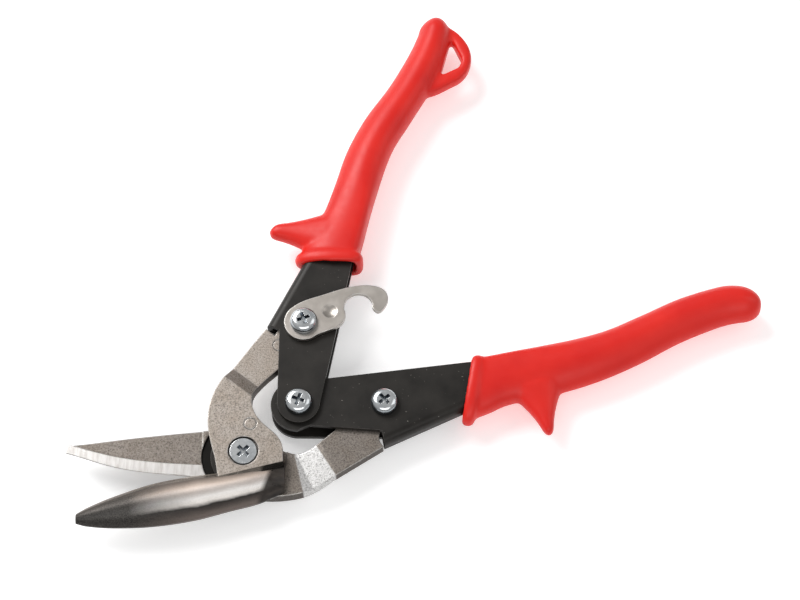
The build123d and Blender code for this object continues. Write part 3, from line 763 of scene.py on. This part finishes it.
def return_spring():
    """Leg, coil and leg as one wire, running from the lower handle's side to the upper's."""
    low = math.atan2(lower_screw.y - handle_pivot.y, lower_screw.x - handle_pivot.x)
    high = math.atan2(upper_screw.y - handle_pivot.y, upper_screw.x - handle_pivot.x)
    turn = 3 * math.pi + high - low
    height = COIL_PITCH * turn / (2 * math.pi)
    start = low + math.pi / 2
    rise = COIL_PITCH / (2 * math.pi * COIL_RADIUS)

    def on_coil(angle):
        z = height * (angle - start) / turn - height / 2
        return Vector((COIL_RADIUS * math.cos(angle), COIL_RADIUS * math.sin(angle), z))

    first, last = on_coil(start), on_coil(start + turn)
    low_run = Vector((math.cos(low), math.sin(low), -rise))
    high_run = Vector((math.cos(high), math.sin(high), rise))
    leg_steps, coil_steps = 12, 110
    path = [first + low_run * SPRING_LEG * (1 - i / leg_steps) for i in range(leg_steps)]
    path += [on_coil(start + turn * i / coil_steps) for i in range(coil_steps + 1)]
    path += [last + high_run * SPRING_LEG * (i + 1) / leg_steps for i in range(leg_steps)]
    centre = Vector((handle_pivot.x, handle_pivot.y, jaw_pivot.z))
    bm = bmesh.new()
    rings = []
    for i, p in enumerate(path):
        run = (path[min(i + 1, len(path) - 1)] - path[max(i - 1, 0)]).normalized()
        side = run.cross(Vector((0, 0, 1))).normalized()
        over = side.cross(run)
        radius = WIRE_RADIUS * (0.7 if i in (0, len(path) - 1) else 1.0)
        ring = []
        for k in range(WIRE_SIDES):
            a = 2 * math.pi * k / WIRE_SIDES
            ring.append(centre + (p + (side * math.cos(a) + over * math.sin(a)) * radius) * MM)
        rings.append(ring)
    skin(bm, rings)
    obj = finish_mesh("return_spring_wire", bm)
    shade_smooth(obj)
    obj.data.materials.append(spring_steel.material)
    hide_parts("return_spring")
    across = (high_run - low_run).normalized()
    across.z = 0
    across.normalize()
    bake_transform(obj)


return_spring()


# ---- lights, floor, camera ----------------------------------------------
def softbox(name, place, aim, size, power):
    """A rectangular area light that faces a point."""
    data = bpy.data.lights.new(name, "AREA")
    data.shape = "RECTANGLE"
    data.size, data.size_y = size
    data.energy = power
    lamp = bpy.data.objects.new(name, data)
    bpy.context.scene.collection.objects.link(lamp)
    lamp.location = place
    lamp.rotation_euler = (Vector(aim) - Vector(place)).to_track_quat("-Z", "Y").to_euler()


softbox("key", (-0.74, 0.66, 0.92), (0, 0, 0), (0.8, 0.8), 15)
softbox("fill", (0.9, 0.1, 0.8), (0, 0, 0), (0.6, 0.9), 1.5)
softbox("front", (0.05, -0.85, 0.85), (0, -0.05, 0), (1.2, 0.45), 3.5)

camera_data = bpy.data.cameras.new("camera")
camera_data.sensor_width = 36.0
camera_data.lens = 96.75
camera_data.clip_start = 0.05
camera = bpy.data.objects.new("camera", camera_data)
bpy.context.scene.collection.objects.link(camera)
camera_tilt = math.radians(25.0)
camera_distance = 0.74175
backward = Vector((0, -math.sin(camera_tilt), math.cos(camera_tilt)))
camera.location = in_jaw(52.03, 57.56) + backward * camera_distance
camera.rotation_euler = (camera_tilt, 0, 0)
bpy.context.scene.camera = camera

paper = Look("paper")
paper.set(base_color=(0.92, 0.92, 0.92, 1), roughness=0.9)
paper.set(emission_color=(1, 1, 1, 1), emission_strength=0.36)
bpy.ops.mesh.primitive_plane_add(size=6, location=(0, 0, -0.0005))
floor = bpy.context.object
floor.name = "floor"
floor.data.materials.append(paper.material)

world = bpy.data.worlds.new("world")
world.use_nodes = True
background = world.node_tree.nodes["Background"]
background.inputs["Color"].default_value = (1, 1, 1, 1)
background.inputs["Strength"].default_value = 0.40
bpy.context.scene.world = world
bpy.context.scene.view_settings.view_transform = "Standard"
